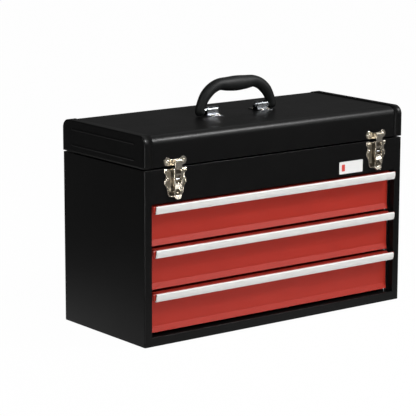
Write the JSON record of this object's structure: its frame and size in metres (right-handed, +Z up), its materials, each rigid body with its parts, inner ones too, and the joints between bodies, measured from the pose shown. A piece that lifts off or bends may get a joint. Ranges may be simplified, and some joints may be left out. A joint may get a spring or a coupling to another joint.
{
  "type": "portable tool box with drawers",
  "caption": "Portable steel tool box with a hinged lid over a top compartment, ball-bearing drawers below, draw latches and a folding carrying handle.",
  "frame": {"origin": "centre of the cabinet's footprint on the floor", "axes": "+X to the right as seen from the front, -Y out of the drawer fronts, +Z up"},
  "size_m": [0.512, 0.2349, 0.3775],
  "materials": {
    "black_coat": "semi-gloss powder coat",
    "red_coat": "satin powder coat",
    "pull_aluminium": "satin anodised",
    "zinc_steel": "zinc plated",
    "cage_steel": "bright steel",
    "nickel_steel": "nickel plated",
    "chrome_steel": "polished",
    "grip_plastic": "fine moulded grain"
  },
  "bodies": {
    "cabinet": {"body_shell": "black_coat", "back_panel": "black_coat", "base_pan": "black_coat", "compartment_floor": "black_coat", "left_carrier": "zinc_steel", "right_carrier": "zinc_steel", "drawer_1_outer_rail_left": "zinc_steel", "drawer_1_outer_rail_right": "zinc_steel", "drawer_2_outer_rail_left": "zinc_steel", "drawer_2_outer_rail_right": "zinc_steel", "drawer_3_outer_rail_left": "zinc_steel", "drawer_3_outer_rail_right": "zinc_steel", "left_hinge_body_leaf": "nickel_steel", "right_hinge_body_leaf": "nickel_steel", "hinge_pins": "zinc_steel", "left_latch_base": "nickel_steel", "right_latch_base": "nickel_steel", "latch_pins": "zinc_steel", "cabinet_rivets": "nickel_steel"},
    "lid": {"lid_shell": "black_coat", "left_end_cap": "black_coat", "right_end_cap": "black_coat", "left_keeper": "nickel_steel", "right_keeper": "nickel_steel", "left_handle_bracket": "chrome_steel", "right_handle_bracket": "chrome_steel", "left_hinge_lid_leaf": "nickel_steel", "right_hinge_lid_leaf": "nickel_steel", "lid_rivets": "nickel_steel"},
    "handle": {"handle_grip": "grip_plastic", "handle_pins": "chrome_steel"},
    "left_lever": {"left_latch_lever": "nickel_steel"},
    "left_bail": {"left_latch_bail": "nickel_steel"},
    "right_lever": {"right_latch_lever": "nickel_steel"},
    "right_bail": {"right_latch_bail": "nickel_steel"},
    "drawer_1": {"drawer_1_tray": "red_coat", "drawer_1_front": "red_coat", "drawer_1_pull": "pull_aluminium", "drawer_1_inner_rail_left": "zinc_steel", "drawer_1_inner_rail_right": "zinc_steel"},
    "drawer_1_cages": {"drawer_1_cage_left": "cage_steel", "drawer_1_cage_right": "cage_steel"},
    "drawer_2": {"drawer_2_tray": "red_coat", "drawer_2_front": "red_coat", "drawer_2_pull": "pull_aluminium", "drawer_2_inner_rail_left": "zinc_steel", "drawer_2_inner_rail_right": "zinc_steel"},
    "drawer_2_cages": {"drawer_2_cage_left": "cage_steel", "drawer_2_cage_right": "cage_steel"},
    "drawer_3": {"drawer_3_tray": "red_coat", "drawer_3_front": "red_coat", "drawer_3_pull": "pull_aluminium", "drawer_3_inner_rail_left": "zinc_steel", "drawer_3_inner_rail_right": "zinc_steel"},
    "drawer_3_cages": {"drawer_3_cage_left": "cage_steel", "drawer_3_cage_right": "cage_steel"}
  },
  "joints": [
    {"name": "lid_hinge", "type": "hinge", "parent": "cabinet", "child": "lid", "pos_m": [0, 0.1108, 0.26975], "axis": [-1, 0, 0], "range_deg": [0, 100]},
    {"name": "handle_hinge", "type": "hinge", "parent": "lid", "child": "handle", "pos_m": [0, 0, 0.3275], "axis": [1, 0, 0], "range_deg": [-84, 84]},
    {"name": "left_lever_pivot", "type": "hinge", "parent": "cabinet", "child": "left_lever", "pos_m": [-0.199, -0.1135, 0.252], "axis": [-1, 0, 0], "range_deg": [0, 120]},
    {"name": "left_bail_pivot", "type": "hinge", "parent": "left_lever", "child": "left_bail", "pos_m": [-0.199, -0.1132, 0.244], "axis": [-1, 0, 0], "range_deg": [-156, 0]},
    {"name": "right_lever_pivot", "type": "hinge", "parent": "cabinet", "child": "right_lever", "pos_m": [0.199, -0.1135, 0.252], "axis": [-1, 0, 0], "range_deg": [0, 120]},
    {"name": "right_bail_pivot", "type": "hinge", "parent": "right_lever", "child": "right_bail", "pos_m": [0.199, -0.1132, 0.244], "axis": [-1, 0, 0], "range_deg": [-156, 0]},
    {"name": "drawer_1_slide", "type": "slide", "parent": "cabinet", "child": "drawer_1", "axis": [0, -1, 0], "range_m": [0, 0.13]},
    {"name": "drawer_1_cage_slide", "type": "slide", "parent": "cabinet", "child": "drawer_1_cages", "axis": [0, -1, 0], "range_m": [0, 0.065]},
    {"name": "drawer_2_slide", "type": "slide", "parent": "cabinet", "child": "drawer_2", "axis": [0, -1, 0], "range_m": [0, 0.13]},
    {"name": "drawer_2_cage_slide", "type": "slide", "parent": "cabinet", "child": "drawer_2_cages", "axis": [0, -1, 0], "range_m": [0, 0.065]},
    {"name": "drawer_3_slide", "type": "slide", "parent": "cabinet", "child": "drawer_3", "axis": [0, -1, 0], "range_m": [0, 0.13]},
    {"name": "drawer_3_cage_slide", "type": "slide", "parent": "cabinet", "child": "drawer_3_cages", "axis": [0, -1, 0], "range_m": [0, 0.065]}
  ],
  "couplings": [
    {"joint": "left_bail_pivot", "follows": "left_lever_pivot", "ratio": -1.3},
    {"joint": "right_bail_pivot", "follows": "right_lever_pivot", "ratio": -1.3},
    {"joint": "drawer_1_cage_slide", "follows": "drawer_1_slide", "ratio": 0.5},
    {"joint": "drawer_2_cage_slide", "follows": "drawer_2_slide", "ratio": 0.5},
    {"joint": "drawer_3_cage_slide", "follows": "drawer_3_slide", "ratio": 0.5}
  ]
}
